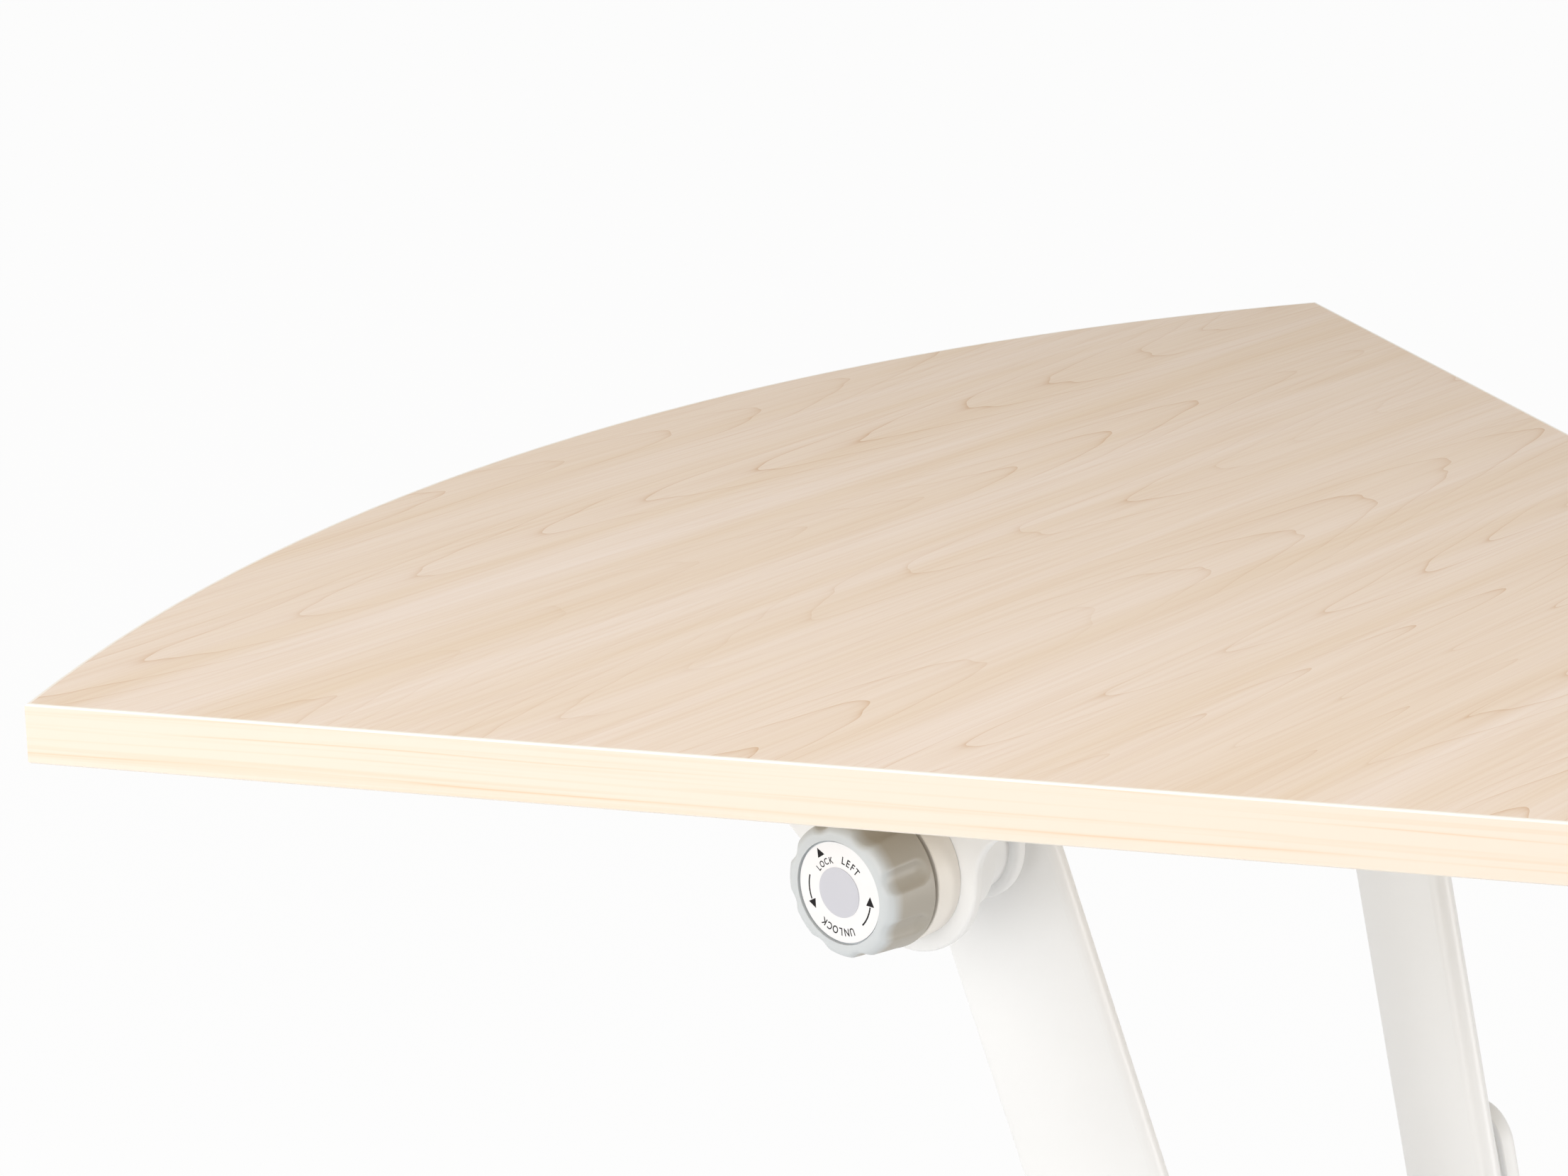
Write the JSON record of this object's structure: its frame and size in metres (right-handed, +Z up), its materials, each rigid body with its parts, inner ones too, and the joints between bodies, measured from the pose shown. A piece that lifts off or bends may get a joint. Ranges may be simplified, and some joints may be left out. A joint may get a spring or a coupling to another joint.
{
  "type": "folding corner desk",
  "caption": "Fan-shaped corner desk on leaning oval legs with casters; the top flips upright about a hinge line held by clamp knobs, so that desks nest.",
  "frame": {"origin": "on the floor, under the middle of the top's box", "axes": "+X along the hinge line from the left knob to the right one, +Y towards the outer arc, +Z up"},
  "size_m": [1, 0.8208, 0.72],
  "materials": {
    "maple_laminate": "melamine-faced board with a printed maple grain, satin",
    "edge_band": "cream maple-printed edge band, satin",
    "white_paint": "warm white powder coat, semi-gloss",
    "collar_plastic": "off-white moulded plastic, satin",
    "knob_grey": "grey moulded plastic, satin",
    "dial_white": "white printed dial",
    "dial_grey": "pale grey disc",
    "cap_plastic": "white moulded plastic, satin",
    "zinc_steel": "zinc plated",
    "bush_nylon": "natural nylon",
    "friction_pad": "friction lining",
    "caster_hood": "grey nylon",
    "caster_wheel": "grey nylon tread",
    "caster_brake": "grey nylon"
  },
  "bodies": {
    "frame": {"leg_left": "white_paint", "leg_cap_left": "cap_plastic", "hinge_hub_left": "white_paint", "spindle_left": "zinc_steel", "foot_left": "white_paint", "nesting_bumper_left": "cap_plastic", "leg_right": "white_paint", "leg_cap_right": "cap_plastic", "hinge_hub_right": "white_paint", "spindle_right": "zinc_steel", "foot_right": "white_paint", "nesting_bumper_right": "cap_plastic", "cross_beam": "white_paint", "retaining_rings": "zinc_steel", "stop_pins": "zinc_steel", "friction_washers": "friction_pad", "foot_caps": "cap_plastic", "caster_sockets": "caster_hood", "caster_stems": "zinc_steel"},
    "top": {"edge_band_left": "edge_band", "hinge_bracket_left": "white_paint", "pivot_bush_left": "bush_nylon", "collar_left": "collar_plastic", "edge_band_right": "edge_band", "hinge_bracket_right": "white_paint", "pivot_bush_right": "bush_nylon", "collar_right": "collar_plastic", "top_board": "maple_laminate", "edge_band_outer": "edge_band", "edge_band_inner": "edge_band", "bracket_screws": "zinc_steel"},
    "knob_left": {"knob_left": "knob_grey", "knob_insert_left": "zinc_steel", "dial_ring_left": "dial_white", "dial_disc_left": "dial_grey"},
    "clamp_left": {"clamp_plate_left": "zinc_steel"},
    "caster_inner_left": {"caster_inner_body_left": "caster_hood", "caster_inner_axle_left": "zinc_steel"},
    "wheels_inner_left": {"caster_inner_wheels_left": "caster_wheel"},
    "caster_outer_left": {"caster_outer_body_left": "caster_hood", "caster_outer_axle_left": "zinc_steel"},
    "wheels_outer_left": {"caster_outer_wheels_left": "caster_wheel"},
    "brake_left": {"caster_outer_brake_left": "caster_brake"},
    "knob_right": {"knob_right": "knob_grey", "knob_insert_right": "zinc_steel", "dial_ring_right": "dial_white", "dial_disc_right": "dial_grey"},
    "clamp_right": {"clamp_plate_right": "zinc_steel"},
    "caster_inner_right": {"caster_inner_body_right": "caster_hood", "caster_inner_axle_right": "zinc_steel"},
    "wheels_inner_right": {"caster_inner_wheels_right": "caster_wheel"},
    "caster_outer_right": {"caster_outer_body_right": "caster_hood", "caster_outer_axle_right": "zinc_steel"},
    "wheels_outer_right": {"caster_outer_wheels_right": "caster_wheel"},
    "brake_right": {"caster_outer_brake_right": "caster_brake"}
  },
  "joints": [
    {"name": "top_flip", "type": "hinge", "parent": "frame", "child": "top", "pos_m": [0, 0, 0.64], "axis": [-1, 0, 0], "range_deg": [0, 90]},
    {"name": "knob_left_turn", "type": "hinge", "parent": "top", "child": "knob_left", "pos_m": [0, 0, 0.64], "axis": [-1, 0, 0], "range_deg": [0, 180]},
    {"name": "clamp_left_slide", "type": "slide", "parent": "top", "child": "clamp_left", "axis": [-1, 0, 0], "range_m": [0, 0.0012]},
    {"name": "knob_right_turn", "type": "hinge", "parent": "top", "child": "knob_right", "pos_m": [0, 0, 0.64], "axis": [-1, 0, 0], "range_deg": [0, 180]},
    {"name": "clamp_right_slide", "type": "slide", "parent": "top", "child": "clamp_right", "axis": [1, 0, 0], "range_m": [0, 0.0012]},
    {"name": "caster_inner_left_swivel", "type": "hinge", "parent": "frame", "child": "caster_inner_left", "pos_m": [-0.06636, -0.26804, 0], "axis": [0, 0, 1], "continuous": true},
    {"name": "wheels_inner_left_roll", "type": "hinge", "parent": "caster_inner_left", "child": "wheels_inner_left", "pos_m": [-0.05875, -0.2908, 0.025], "axis": [0.9483, 0.3173, 0], "continuous": true},
    {"name": "caster_inner_right_swivel", "type": "hinge", "parent": "frame", "child": "caster_inner_right", "pos_m": [0.06636, -0.26804, 0], "axis": [0, 0, 1], "continuous": true},
    {"name": "wheels_inner_right_roll", "type": "hinge", "parent": "caster_inner_right", "child": "wheels_inner_right", "pos_m": [0.05875, -0.2908, 0.025], "axis": [0.9483, -0.3173, 0], "continuous": true},
    {"name": "caster_outer_left_swivel", "type": "hinge", "parent": "frame", "child": "caster_outer_left", "pos_m": [-0.23422, 0.23362, 0], "axis": [0, 0, 1], "continuous": true},
    {"name": "wheels_outer_left_roll", "type": "hinge", "parent": "caster_outer_left", "child": "wheels_outer_left", "pos_m": [-0.24183, 0.25638, 0.025], "axis": [-0.9483, -0.3173, 0], "continuous": true},
    {"name": "brake_left_press", "type": "hinge", "parent": "caster_outer_left", "child": "brake_left", "pos_m": [-0.24183, 0.25638, 0.025], "axis": [-0.9483, -0.3173, 0], "range_deg": [0, 14]},
    {"name": "caster_outer_right_swivel", "type": "hinge", "parent": "frame", "child": "caster_outer_right", "pos_m": [0.23422, 0.23362, 0], "axis": [0, 0, 1], "continuous": true},
    {"name": "wheels_outer_right_roll", "type": "hinge", "parent": "caster_outer_right", "child": "wheels_outer_right", "pos_m": [0.24183, 0.25638, 0.025], "axis": [-0.9483, 0.3173, 0], "continuous": true},
    {"name": "brake_right_press", "type": "hinge", "parent": "caster_outer_right", "child": "brake_right", "pos_m": [0.24183, 0.25638, 0.025], "axis": [-0.9483, 0.3173, 0], "range_deg": [0, 14]}
  ],
  "couplings": [
    {"joint": "clamp_left_slide", "follows": "knob_left_turn", "m_per_rad": 0.00038197},
    {"joint": "clamp_right_slide", "follows": "knob_right_turn", "m_per_rad": 0.00038197}
  ]
}
